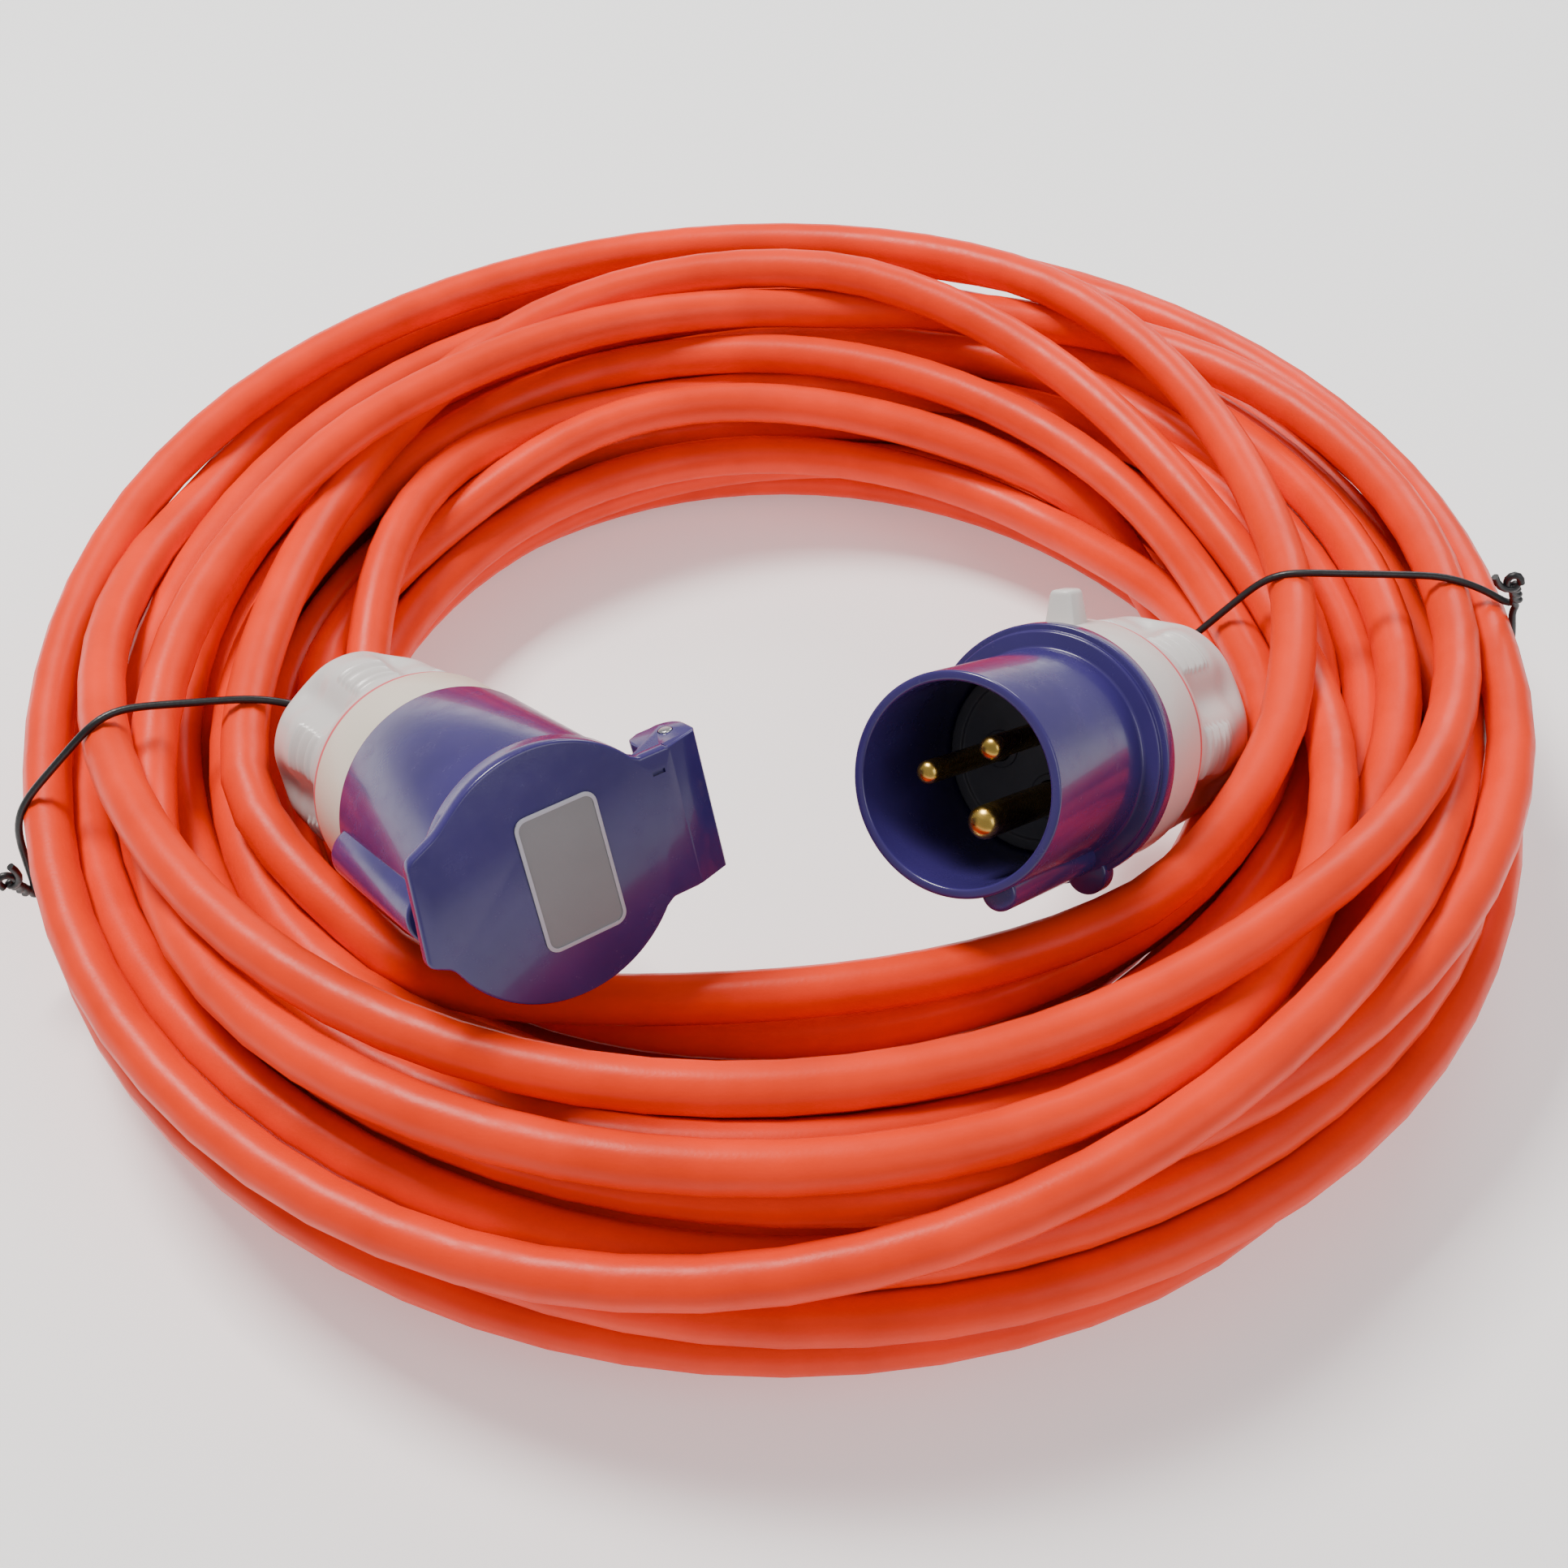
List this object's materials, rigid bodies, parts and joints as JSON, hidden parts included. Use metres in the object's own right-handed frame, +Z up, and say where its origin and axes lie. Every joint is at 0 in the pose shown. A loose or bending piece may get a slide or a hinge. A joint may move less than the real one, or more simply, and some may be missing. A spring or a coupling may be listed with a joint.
{
  "type": "extension cord",
  "caption": "Coiled heavy cable with a shrouded pin plug on one end and a round socket with a sprung lid on the other, tied with wire.",
  "frame": {"origin": "centre of the coil on the surface that it lies on", "axes": "+Z up; -Y towards the side that the plug and the socket face"},
  "size_m": [0.3774, 0.3762, 0.1203],
  "materials": {
    "blue_shell": "glossy moulded plastic",
    "white_shell": "satin moulded plastic",
    "dark_insert": "matt moulded plastic",
    "brass": "turned brass",
    "steel": "zinc-plated steel",
    "seal_rubber": "matt rubber",
    "pink_seal": "soft silicone",
    "core_brown": "insulation",
    "core_blue": "insulation",
    "core_green_yellow": "insulation",
    "orange_sheath": "smooth flexible sheath, satin",
    "black_wire": "plastic-coated wire",
    "lid_plate": "blank foil plate"
  },
  "bodies": {
    "lead": {"plug_shroud": "blue_shell", "socket_housing": "blue_shell", "plug_collar": "white_shell", "socket_collar": "white_shell", "plug_contact_insert": "dark_insert", "socket_contact_insert": "dark_insert", "plug_clamp_ring": "dark_insert", "socket_clamp_ring": "dark_insert", "plug_pin_line": "brass", "plug_pin_neutral": "brass", "plug_pin_earth": "brass", "socket_sleeve_line": "brass", "socket_sleeve_neutral": "brass", "socket_sleeve_earth": "brass", "plug_terminal_screw_line": "steel", "plug_terminal_screw_neutral": "steel", "plug_terminal_screw_earth": "steel", "socket_terminal_screw_line": "steel", "socket_terminal_screw_neutral": "steel", "socket_terminal_screw_earth": "steel", "socket_hinge_pin": "steel", "socket_lid_spring": "steel", "plug_cable_seal": "seal_rubber", "socket_cable_seal": "seal_rubber", "plug_seal_ring": "pink_seal", "socket_seal_ring": "pink_seal", "plug_core_brown": "core_brown", "socket_core_brown": "core_brown", "plug_core_blue": "core_blue", "socket_core_blue": "core_blue", "plug_core_green_yellow": "core_green_yellow", "socket_core_green_yellow": "core_green_yellow", "cable_coil": "orange_sheath", "cable_to_plug": "orange_sheath", "cable_to_socket": "orange_sheath", "tie_left": "black_wire", "tie_right": "black_wire"},
    "lid": {"socket_lid": "blue_shell", "socket_lid_seal": "seal_rubber", "socket_lid_plate": "lid_plate"},
    "plug_nut": {"plug_gland_nut": "white_shell"},
    "socket_nut": {"socket_gland_nut": "white_shell"}
  },
  "joints": [
    {"name": "lid_hinge", "type": "hinge", "parent": "lead", "child": "lid", "pos_m": [-0.02053, -0.09471, 0.09225], "axis": [-0.2008, 0.3439, 0.9173], "range_deg": [0, 105], "stiffness_Nm_per_rad": 0.02, "springref_deg": -40.11},
    {"name": "plug_nut_turn", "type": "hinge", "parent": "lead", "child": "plug_nut", "pos_m": [0.08047, -0.03324, 0.05272], "axis": [-0.5371, -0.6924, 0.4818], "range_deg": [0, 360]},
    {"name": "socket_nut_turn", "type": "hinge", "parent": "lead", "child": "socket_nut", "pos_m": [-0.08855, -0.05375, 0.06201], "axis": [0.5238, -0.7536, 0.3971], "range_deg": [0, 360]}
  ]
}
